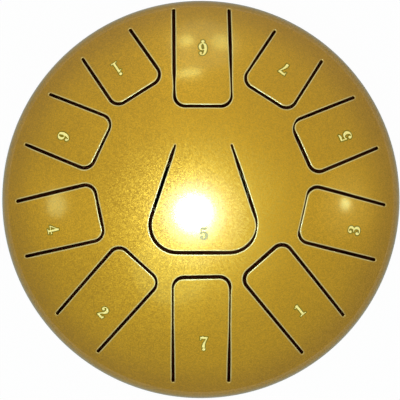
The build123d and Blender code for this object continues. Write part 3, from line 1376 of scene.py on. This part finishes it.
# Each digit is strokes of (across, up, half width) through which a smooth pen runs, and round ends of (across,
# up, radius), on a body one unit high
DIGIT_STROKES: dict[str, tuple[tuple[tuple[float, float, float], ...], ...]] = {
    "1": (
        ((0.33, 0.00, 0.085), (0.33, 0.35, 0.08), (0.33, 0.70, 0.08), (0.33, 1.00, 0.085)),
        ((0.33, 0.965, 0.035), (0.22, 0.90, 0.03), (0.10, 0.86, 0.028)),
        ((0.08, 0.028, 0.028), (0.33, 0.035, 0.035), (0.58, 0.028, 0.028)),
    ),
    "2": (
        (
            (0.10, 0.74, 0.045), (0.13, 0.88, 0.04), (0.28, 0.965, 0.035), (0.44, 0.89, 0.075), (0.49, 0.72, 0.095),
            (0.42, 0.55, 0.075), (0.28, 0.38, 0.045), (0.15, 0.22, 0.035), (0.08, 0.07, 0.04),
        ),
        ((0.07, 0.09, 0.05), (0.22, 0.115, 0.075), (0.38, 0.08, 0.08), (0.50, 0.10, 0.07), (0.57, 0.25, 0.02)),
    ),
    "3": (
        (
            (0.09, 0.78, 0.045), (0.13, 0.91, 0.035), (0.28, 0.97, 0.03), (0.44, 0.89, 0.075), (0.48, 0.75, 0.09),
            (0.42, 0.60, 0.06), (0.27, 0.53, 0.03), (0.19, 0.525, 0.025),
        ),
        (
            (0.20, 0.525, 0.025), (0.32, 0.52, 0.035), (0.48, 0.43, 0.08), (0.53, 0.27, 0.10), (0.46, 0.10, 0.07),
            (0.28, 0.03, 0.03), (0.11, 0.08, 0.04), (0.06, 0.20, 0.045),
        ),
    ),
    "4": (
        ((0.40, 0.00, 0.065), (0.40, 0.35, 0.065), (0.40, 0.70, 0.07), (0.40, 1.00, 0.07)),
        ((0.43, 0.98, 0.035), (0.22, 0.65, 0.028), (0.01, 0.30, 0.03)),
        ((-0.01, 0.285, 0.032), (0.33, 0.285, 0.032), (0.65, 0.285, 0.03)),
        ((0.20, 0.028, 0.028), (0.40, 0.035, 0.035), (0.60, 0.028, 0.028)),
    ),
    "5": (
        ((0.13, 0.97, 0.03), (0.11, 0.72, 0.03), (0.09, 0.48, 0.03)),
        ((0.12, 0.92, 0.06), (0.30, 0.90, 0.075), (0.44, 0.92, 0.065), (0.54, 0.985, 0.02)),
        (
            (0.09, 0.48, 0.03), (0.20, 0.58, 0.035), (0.34, 0.59, 0.05), (0.47, 0.48, 0.09), (0.50, 0.30, 0.105),
            (0.43, 0.11, 0.075), (0.27, 0.03, 0.03), (0.13, 0.07, 0.04), (0.07, 0.19, 0.045),
        ),
    ),
    "6": (
        (
            (0.51, 0.84, 0.04), (0.45, 0.94, 0.035), (0.33, 0.97, 0.035), (0.21, 0.87, 0.07), (0.12, 0.64, 0.09),
            (0.10, 0.38, 0.095), (0.16, 0.13, 0.08), (0.31, 0.03, 0.03), (0.46, 0.12, 0.075), (0.51, 0.29, 0.09),
            (0.46, 0.48, 0.075), (0.32, 0.565, 0.03), (0.19, 0.50, 0.03), (0.14, 0.40, 0.03),
        ),
    ),
    "7": (
        ((0.05, 0.985, 0.022), (0.055, 0.85, 0.026), (0.045, 0.70, 0.022)),
        ((0.07, 0.90, 0.075), (0.22, 0.91, 0.085), (0.38, 0.885, 0.08), (0.54, 0.93, 0.05)),
        (
            (0.57, 0.965, 0.03), (0.49, 0.76, 0.035), (0.37, 0.52, 0.055), (0.29, 0.30, 0.085), (0.265, 0.12, 0.10),
            (0.265, 0.02, 0.095),
        ),
    ),
}
DIGIT_BALLS: dict[str, tuple[tuple[float, float, float], ...]] = {
    "1": (),
    "2": ((0.16, 0.725, 0.105),),
    "3": ((0.145, 0.77, 0.095), (0.125, 0.215, 0.105)),
    "4": (),
    "5": ((0.135, 0.205, 0.105),),
    "6": ((0.46, 0.815, 0.09),),
    "7": (),
}
OCTAVE_DOTS: dict[Octave, tuple[tuple[float, float, float], ...]] = {
    Octave.LOW: ((0.29, -0.13, 0.12),),
    Octave.PLAIN: (),
    Octave.HIGH: ((0.33, 1.20, 0.12),),
}


class Ink(IntEnum):
    """Layers of a printed number, in the order of its finishes."""

    PRINT = 0
    BORDER = 1


@dataclass
class NoteNumbers:
    """The numbers printed on the tongues, low raised prints that follow the dome."""

    section: ShellSection
    digit_middle: tuple[float, float] = (0.31, 0.50)
    digit_scale: tuple[float, float] = (1.1, 1.0)
    print_height: float = 0.00006
    print_sink: float = 0.00004
    border_height: float = 0.00003
    border_sink: float = 0.00008
    pen_steps: int = 7
    ball_steps: int = 24

    def pen_quads(self, stroke: tuple[tuple[float, float, float], ...], border: float) -> np.ndarray:
        """Four-sided steps of a pen that runs smoothly through a stroke's points.

        Between two points the pen follows the cubic that leaves each point along the line between its two
        neighbours. The quads reach the half width and the border to both sides of the pen's way.

        Args:
            stroke: The pen's points.
            border: Width added on both sides.

        Returns:
            The quads' corners, steps by 4 by 2.
        """
        knots = np.array(stroke)
        slopes = np.gradient(knots, axis=0)
        share = np.linspace(0, 1, self.pen_steps, endpoint=False)[:, None]
        start, end = knots[:-1, None], knots[1:, None]
        leave, arrive = slopes[:-1, None], slopes[1:, None]
        square, cube = share**2, share**3
        way = (
            (2 * cube - 3 * square + 1) * start
            + (cube - 2 * square + share) * leave
            + (3 * square - 2 * cube) * end
            + (cube - square) * arrive
        )
        way = np.concatenate([way.reshape(-1, 3), knots[-1:]])
        along = unit(np.gradient(way[:, :2], axis=0))
        way[[0, -1], :2] += border * np.stack([-along[0], along[-1]])
        side = left_of(along) * (way[:, 2:] + border)
        left, right = way[:, :2] + side, way[:, :2] - side
        return np.stack([right[:-1], right[1:], left[1:], left[:-1]], axis=1)

    def outline(self, tongue: Tongue, border: float) -> tuple[np.ndarray, np.ndarray]:
        """The number as one flat net: all of its pen steps, round ends and dots laid over each other and merged.

        What the strokes only enclose stays open. The middle number, printed darker as painted shade, has no dot.

        Args:
            tongue: The tongue with the number.
            border: Width added all round.

        Returns:
            The net's points on the unit body, and its triangles.
        """
        quads = np.concatenate([self.pen_quads(stroke, border) for stroke in DIGIT_STROKES[tongue.digit]])
        points = [quads.reshape(-1, 2)]
        faces = np.arange(len(points[0])).reshape(-1, 4).tolist()
        count = len(points[0])
        dots = () if tongue.number_worn else OCTAVE_DOTS[tongue.octave]
        for across, up, radius in DIGIT_BALLS[tongue.digit] + dots:
            points.append(np.array([across, up]) + (radius + border) * spokes(self.ball_steps))
            faces.append(list(range(count, count + self.ball_steps)))
            count += self.ball_steps
        found, _, triangles, _, _, inside = delaunay_2d_cdt(
            np.concatenate(points).tolist(), [], faces, INSIDE_ONLY, DIGIT_TOLERANCE
        )
        inked = np.array([len(numbers) > 0 for numbers in inside])
        return np.array([tuple(point) for point in found]), np.array(triangles)[inked]

    def layer(self, tongue: Tongue, border: float, rise: float, sink: float, finish: Ink) -> list[Surface]:
        """One closed layer of a number on the dome: its top, its underside and its side.

        Args:
            tongue: The tongue that carries it.
            border: Width added all round the number, as a share of its height.
            rise: Height of the layer's top over the dome.
            sink: Depth of its underside in the dome.
            finish: The layer's finish.

        Returns:
            The layer's skins.
        """
        flat, triangles = self.outline(tongue, border)
        centre, up = tongue.number_frame(self.section.radius)
        local = (flat - np.array(self.digit_middle)) * np.array(self.digit_scale) * tongue.number_height
        plan = centre - local[:, :1] * left_of(up) + local[:, 1:] * up

        top, normals = self.section.skin(plan, -rise)
        under, _ = self.section.skin(plan, sink)
        sides = np.concatenate([triangles[:, [0, 1]], triangles[:, [1, 2]], triangles[:, [2, 0]]])
        ordered = np.sort(sides, axis=1)
        _, first, uses = np.unique(ordered, axis=0, return_index=True, return_counts=True)
        rim = sides[first[uses == 1]]
        run = top[rim[:, 1]] - top[rim[:, 0]]
        outward = np.cross(run, normals[rim[:, 0]])
        wall = np.stack([top[rim[:, 0]], top[rim[:, 1]], under[rim[:, 1]], under[rim[:, 0]]], axis=1)
        side = Surface(
            wall.reshape(-1, 3), np.repeat(outward, 4, axis=0), np.arange(len(rim) * 4).reshape(-1, 4), finish
        )
        return [Surface(top, normals, triangles, finish), Surface(under, -normals, triangles, finish), side]

    def build(self, tongue: Tongue, bend: dict[str, Vector], finishes: Finishes) -> None:
        """Lays a tongue's number on the dome, over its darker border.

        Args:
            tongue: The tongue that carries it.
            bend: Start and end of the tongue's bending, which the number follows.
            finishes: The drum's materials.
        """
        name = tongue.name.replace("tongue", "number")
        skins = self.layer(tongue, 0.0, self.print_height, self.print_sink, Ink.PRINT)
        skins += self.layer(tongue, tongue.number_border, self.border_height, self.border_sink, Ink.BORDER)
        # The middle number takes the darker, greyer print: painted shade
        ink = finishes.worn_number if tongue.number_worn else finishes.number
        piece = make_piece(name, skins, [ink, finishes.border])
        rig.blend(piece, "drum", tongue.name, **bend)


# The lower shell, the weld and the feet


@dataclass
class LowerShell:
    """The pressed bowl with the bent rim of its sound hole, and the weld that joins it to the dome."""

    section: ShellSection
    segments: int = 360
    edge_radius: float = 0.0003
    edge_steps: int = 5
    lip_steps: int = 4
    bend_steps: int = 12
    bowl_steps: int = 24
    shoulder_steps: int = 32
    skirt_steps: int = 3
    inner_bend_steps: int = 8
    inner_bowl_steps: int = 16
    inner_shoulder_steps: int = 20
    bead_width: float = 0.0036
    bead_height: float = 0.0009
    bead_steps: int = 10
    weld_crown: float = 0.00008
    crown_steps: int = 6

    def build(self, finishes: Finishes) -> None:
        """Builds the bowl and the weld and fits them to the drum's body.

        Args:
            finishes: The drum's materials.
        """
        coats = [finishes.gold, finishes.inside]
        bowl = make_piece("lower_shell", self.bowl(), coats)
        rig.replaces(bowl, "bottom_shell")
        weld = make_piece("weld_ring", self.weld(), coats)
        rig.replaces(weld, "seam_weld")
        for piece in (bowl, weld):
            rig.ride(piece, "drum")
            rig.slot(piece, "gold_lacquer")

    def bowl(self) -> list[Surface]:
        """The bowl's section turned round the axis.

        Outside it runs from the lip of the hole round its bend, along the bowl, up the shoulder and the skirt,
        round the upper edge and across it. Inside it runs back at the sheet's thickness.

        Returns:
            The outer and the inner skins.
        """
        part = self.section
        edge = part.seam - part.weld_gap / 2
        bowl_middle = part.bowl_bottom + part.bowl_radius
        reach = part.radius - part.bowl_shoulder
        slope = math.degrees(math.asin(reach / (part.bowl_radius - part.bowl_shoulder)))
        height = bowl_middle - math.sqrt((part.bowl_radius - part.bowl_shoulder) ** 2 - reach**2)
        bend_reach = part.hole_radius + part.hole_bend
        bend_slope = math.degrees(math.asin(bend_reach / (part.bowl_radius - part.hole_bend)))
        bend_height = bowl_middle - math.sqrt((part.bowl_radius - part.hole_bend) ** 2 - bend_reach**2)
        lip = bend_height + part.hole_lip
        turn = self.edge_radius
        inner_hole = part.hole_radius + part.sheet
        inner_wall = part.radius - part.sheet
        bend, shoulder = (bend_reach, bend_height), (reach, height)
        outside = [
            line_profile((inner_hole - turn, lip), (part.hole_radius + turn, lip)),
            arc_profile((part.hole_radius + turn, lip - turn), turn, 90, 180, self.lip_steps),
            line_profile((part.hole_radius, lip - turn), (part.hole_radius, bend_height)),
            arc_profile(bend, part.hole_bend, 180, 270 + bend_slope, self.bend_steps),
            arc_profile((0, bowl_middle), part.bowl_radius, bend_slope - 90, slope - 90, self.bowl_steps),
            arc_profile(shoulder, part.bowl_shoulder, slope - 90, 0, self.shoulder_steps),
            line_profile((part.radius, height), (part.radius, edge - turn), self.skirt_steps),
            arc_profile((part.radius - turn, edge - turn), turn, 0, 90, self.edge_steps),
            line_profile((part.radius - turn, edge), (inner_wall, edge)),
        ]
        bend_size, bowl_size, shoulder_size = (
            size - part.sheet for size in (part.hole_bend, part.bowl_radius, part.bowl_shoulder)
        )
        inside = [
            line_profile((inner_wall, edge), (inner_wall, height)),
            arc_profile(shoulder, shoulder_size, 0, slope - 90, self.inner_shoulder_steps, hollow=True),
            arc_profile((0, bowl_middle), bowl_size, slope - 90, bend_slope - 90, self.inner_bowl_steps, hollow=True),
            arc_profile(bend, bend_size, 270 + bend_slope, 180, self.inner_bend_steps, hollow=True),
            line_profile((inner_hole, bend_height), (inner_hole, lip - turn)),
            arc_profile((inner_hole - turn, lip - turn), turn, 0, 90, self.lip_steps),
        ]
        return turned_shell(outside, inside, self.segments)

    def weld(self) -> list[Surface]:
        """The weld's section turned round the axis: a band that fills the gap, faintly crowned, and a bead inside.

        Returns:
            The skins of the band and of the bead.
        """
        part = self.section
        half = part.weld_gap / 2
        wall = part.radius - part.sheet
        crown = (half**2 + self.weld_crown**2) / (2 * self.weld_crown)
        crown_angle = math.degrees(math.asin(half / crown))
        bead = ((self.bead_width / 2) ** 2 + self.bead_height**2) / (2 * self.bead_height)
        bead_angle = math.degrees(math.asin(self.bead_width / 2 / bead))
        band_edge = part.radius - self.weld_crown
        outside = [
            line_profile((wall, part.seam - half), (band_edge, part.seam - half)),
            arc_profile((part.radius - crown, part.seam), crown, -crown_angle, crown_angle, self.crown_steps),
            line_profile((band_edge, part.seam + half), (wall, part.seam + half)),
        ]
        bead_middle = (wall - self.bead_height + bead, part.seam)
        inside = [
            line_profile((wall, part.seam + half), (wall, part.seam + self.bead_width / 2)),
            arc_profile(bead_middle, bead, 180 - bead_angle, 180 + bead_angle, self.bead_steps),
            line_profile((wall, part.seam - self.bead_width / 2), (wall, part.seam - half)),
        ]
        return turned_shell(outside, inside, self.segments)


@dataclass
class Feet:
    """Three round rubber feet, each on its foam disc, with a ring groove and a shallow dish in the sole."""

    section: ShellSection
    count: int = 3
    edge_radius: float = 0.0024
    edge_steps: int = 8
    foam: float = 0.0008
    groove_reach: float = 0.0048
    groove_width: float = 0.0009
    groove_depth: float = 0.00035
    dish_reach: float = 0.0024
    dish_depth: float = 0.0003
    segments: int = 72
    sole_rows: int = 60
    side_rows: int = 4
    top_rows: int = 6

    def build(self, finishes: Finishes) -> None:
        """Builds the feet and dresses the foam discs of the construction.

        Args:
            finishes: The drum's materials.
        """
        for number in range(1, self.count + 1):
            low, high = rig.box(f"foot_{number}")
            centre = ((low.x + high.x) / 2, (low.y + high.y) / 2)
            piece = make_piece(f"rubber_foot_{number}", self.foot(centre, (high.x - low.x) / 2), [finishes.rubber])
            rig.ride(piece, "drum")
            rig.replaces(piece, f"foot_{number}")
            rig.slot(piece, "foot_rubber")
            disc = frame["nodes"][f"foot_adhesive_{number}"]
            for slot in disc.material_slots:
                slot.material = finishes.foam
            log.info("%s: foam finish", disc.name)

    def foot(self, centre: tuple[float, float], radius: float) -> list[Surface]:
        """One foot: a sole turned round its own axis, and a side and a top that end on the bowl's curve.

        The side's upper end at each direction, and the top, have the height of the bowl grown by the foam.

        Args:
            centre: Place of the foot's axis in the plan.
            radius: The foot's radius.

        Returns:
            The skins.
        """
        turn = self.edge_radius
        flat = radius - turn
        reach = np.append(np.linspace(0, flat, self.sole_rows), flat)
        dish = np.clip(1 - (reach / self.dish_reach) ** 2, 0, None) * self.dish_depth
        groove = np.clip(1 - ((reach - self.groove_reach) / self.groove_width) ** 2, 0, None) * self.groove_depth
        sole = np.stack([reach, dish + groove], axis=-1)
        rise = np.append(np.gradient(sole[:-1, 1], sole[:-1, 0]), 0.0)
        below = sole, np.stack([rise, -np.ones_like(rise)], axis=-1)
        edge = arc_profile((flat, turn), turn, -90, 0, self.edge_steps)
        skins = [turned_surface(*stretch, self.segments, centre=centre) for stretch in (below, edge)]

        spoke = spokes(self.segments)
        rim = np.array(centre) + radius * spoke
        bottom = np.concatenate([rim, np.full((self.segments, 1), turn)], axis=1)
        share = np.linspace(0, 1, self.side_rows)[:, None, None]
        side = bottom + share * (self.on_bowl(rim) - bottom)
        skins.append(grid_surface(side, np.broadcast_to(flat_direction(spoke), side.shape), closed=True))
        rings = np.linspace(1, 0, self.top_rows)[:, None, None] * radius * spoke + np.array(centre)
        top = self.on_bowl(rings)
        skins.append(grid_surface(top, np.broadcast_to(UP, top.shape), closed=True))
        return skins

    def on_bowl(self, plan: np.ndarray) -> np.ndarray:
        """Points of the plan on the bowl's outside, lowered by the foam."""
        height = self.section.bowl_height(np.linalg.norm(plan, axis=-1), self.foam)
        return np.concatenate([plan, height[..., None]], axis=-1)


# Floor, light and camera


@dataclass(frozen=True)
class Softbox:
    """One round area light aimed at the dome's top, or a lying oval one when stretched.

    Its place counts from the dome's top.
    """

    name: str
    place: tuple[float, float, float]
    size: float
    power: float
    colour: tuple[float, float, float] = (0.88, 1.0, 0.42)
    stretch: float = 1.0

    def add(self, top: float) -> None:
        """Puts the light in the scene, unseen by the camera itself.

        Args:
            top: Height of the dome's top.
        """
        lamp = bpy.data.lights.new(self.name, "AREA")
        lamp.shape = "ELLIPSE"
        lamp.size, lamp.size_y = self.size * self.stretch, self.size
        lamp.energy = self.power
        lamp.color = self.colour
        light = bpy.data.objects.new(self.name, lamp)
        across, along, rise = self.place
        light.location = (across, along, top + rise)
        light.rotation_euler = (Vector((0.0, 0.0, top)) - light.location).to_track_quat("-Z", "Y").to_euler()
        light.visible_camera = False
        bpy.context.scene.collection.objects.link(light)
        log.info("light %s", self.name)


# The key with its bright rim and its wide veil, a soft near light, and the small lights and glows of the sides
LIGHTS: tuple[Softbox, ...] = (
    Softbox("key", (-0.040, -0.080, 0.76), 0.225, 4.1, (0.55, 0.88, 1.0)),
    Softbox("key_rim", (-0.042, -0.084, 0.80), 0.40, 1.80, (0.30, 0.60, 1.0)),
    Softbox("key_veil", (-0.030, -0.120, 0.84), 0.64, 0.85, (0.42, 0.78, 1.0)),
    Softbox("right_glow", (0.900, -0.030, 0.43), 0.42, 0.17),
    Softbox("near", (-0.200, -0.460, 0.76), 0.50, 0.90, (0.68, 0.97, 0.35)),
    Softbox("right", (0.860, -0.026, 0.415), 0.055, 0.205),
    Softbox("left", (-0.860, -0.026, 0.415), 0.15, 0.26),
    Softbox("far_left", (-0.082, 0.915, 0.309), 0.08, 0.15, (0.92, 0.94, 0.26)),
    Softbox("far_right", (0.120, 0.910, 0.315), 0.12, 0.18, (0.90, 0.95, 0.26)),
    Softbox("far_high", (-0.082, 0.780, 0.527), 0.05, 0.26, (0.87, 0.97, 0.32), 3.6),
    Softbox("far_glow", (0.010, 0.910, 0.345), 0.42, 0.23, (0.30, 0.97, 1.0)),
)


@dataclass
class Studio:
    """A white floor, a soft white room, a few soft lights and a camera straight above the drum."""

    section: ShellSection
    camera_rise: float = 0.750
    camera_offset: tuple[float, float] = (-0.00043, -0.00026)
    lens: float = 141.8
    sensor: float = 36.0
    floor_size: float = 8.0
    floor_drop: float = 0.00005
    floor_glow: float = 0.98
    # Painted shadow on the floor: its colour runs from dark under the sound hole to pale further out, over these
    # distances
    painted_shadow_tones: tuple[float, float] = (0.02, 0.42)
    painted_shadow_reach: tuple[float, float] = (0.026, 0.075)
    shade_reach: tuple[float, float] = (0.085, 0.106)
    mirror_reach: tuple[float, float] = (0.30, 1.20)
    zenith: float = 0.52
    horizon: float = 0.21
    far_lift: float = 0.16
    zenith_colour: Colour = (1.0, 0.87, 0.48, 1.0)
    horizon_colour: Colour = (0.93, 0.97, 0.97, 1.0)

    def build(self) -> None:
        """Builds all of it."""
        bpy.context.scene.view_settings.view_transform = "Standard"
        self.add_floor()
        self.add_room()
        for light in LIGHTS:
            light.add(self.section.dome_top)
        self.add_camera()

    def add_floor(self) -> None:
        """A level sheet just under the feet, seen only from above.

        To the camera it glows white outside the drum's own shade. To reflections the white starts further out,
        where the drum no longer shades it. The rest is matt and shows the drum's shadow, and a painted shadow
        darkens its colour under the drum, deepest under the hole.
        """
        half = self.floor_size / 2
        mesh = bpy.data.meshes.new("floor")
        edge = np.array([(-half, -half), (half, -half), (half, half), (-half, half)])
        level = np.full((4, 1), -self.floor_drop)
        mesh.from_pydata(np.concatenate([edge, level], axis=1).tolist(), [], [(0, 1, 2, 3)])
        floor = bpy.data.objects.new("floor", mesh)
        bpy.context.scene.collection.objects.link(floor)
        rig.stage(floor)
        material, board = new_material("white_floor")
        place = board.add("ShaderNodeTexCoord").outputs["Object"]
        reach = board.add("ShaderNodeVectorMath", {0: place}, operation="LENGTH").outputs["Value"]
        # Painted shadow: the floor's colour is dark under the sound hole and lightens outwards
        shade = board.ramp(reach, self.painted_shadow_reach, self.painted_shadow_tones)
        matt = board.add("ShaderNodeBsdfDiffuse", {"Color": shade})
        glow = board.add("ShaderNodeEmission", {"Color": WHITE, "Strength": 1.0})
        ray = board.add("ShaderNodeLightPath")
        seen = self.fade(board, reach, self.shade_reach, ray.outputs["Is Camera Ray"])
        for kind in ("Is Glossy Ray", "Is Transmission Ray"):
            mirrored = self.fade(board, reach, self.mirror_reach, ray.outputs[kind])
            seen = board.math("MAXIMUM", seen, mirrored)
        lit = board.add("ShaderNodeMixShader", {0: seen, 1: matt.outputs[0], 2: glow.outputs[0]})
        below = board.add("ShaderNodeNewGeometry").outputs["Backfacing"]
        clear = board.add("ShaderNodeBsdfTransparent")
        mix = board.add("ShaderNodeMixShader", {0: below, 1: lit.outputs[0], 2: clear.outputs[0]})
        board.add("ShaderNodeOutputMaterial", {"Surface": mix.outputs[0]})
        mesh.materials.append(material)

    def fade(
        self, board: NodeBoard, reach: bpy.types.NodeSocket, limits: tuple[float, float], ray: bpy.types.NodeSocket
    ) -> bpy.types.NodeSocket:
        """Share of the floor's glow for one kind of ray, rising between two distances from the drum's axis."""
        rise = board.ramp(reach, limits, (0.0, self.floor_glow), "SMOOTHSTEP")
        return board.math("MULTIPLY", rise, ray)

    def add_room(self) -> None:
        """A soft white room: brightest overhead, dimmer at the horizon, lighter on the far side."""
        world = bpy.data.worlds.new("soft_room")
        world.use_nodes = True
        board = NodeBoard(world.node_tree)
        way = board.add("ShaderNodeTexCoord").outputs["Generated"]
        parts = board.add("ShaderNodeSeparateXYZ", {0: way})
        level = board.ramp(parts.outputs["Z"], (0.0, 1.0), (self.horizon, self.zenith))
        lift = board.math("MAXIMUM", board.math("MULTIPLY", parts.outputs["Y"], self.far_lift), 0.0)
        strength = board.math("ADD", level, lift)
        colour = board.mix(parts.outputs["Z"], self.horizon_colour, self.zenith_colour)
        back = board.add("ShaderNodeBackground", {"Color": colour, "Strength": strength})
        board.add("ShaderNodeOutputWorld", {"Surface": back.outputs[0]})
        bpy.context.scene.world = world

    def add_camera(self) -> None:
        """The camera straight above, with +Y up in the picture."""
        lens = bpy.data.cameras.new("camera")
        lens.lens = self.lens
        lens.sensor_width = self.sensor
        camera = bpy.data.objects.new("camera", lens)
        camera.location = (*self.camera_offset, self.section.dome_top + self.camera_rise)
        bpy.context.scene.collection.objects.link(camera)
        bpy.context.scene.camera = camera


def main() -> None:
    """Builds the drum's pieces in order, then the studio."""
    logging.basicConfig(level=logging.INFO, format="%(message)s")
    finishes = Finishes.make()
    section = ShellSection.from_frame()
    upper = UpperShell(section)
    upper.build(finishes)
    numbers = NoteNumbers(section)
    for tongue in upper.tongues:
        numbers.build(tongue, upper.bend_line(tongue), finishes)
    LowerShell(section).build(finishes)
    Feet(section).build(finishes)
    Studio(section).build()
    boxes = {"cad": [list(corner) for corner in cad_box], "visual": [list(corner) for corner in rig.bounds()]}
    Path("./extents.json").write_text(json.dumps(boxes))


if __name__ == "__main__":
    main()
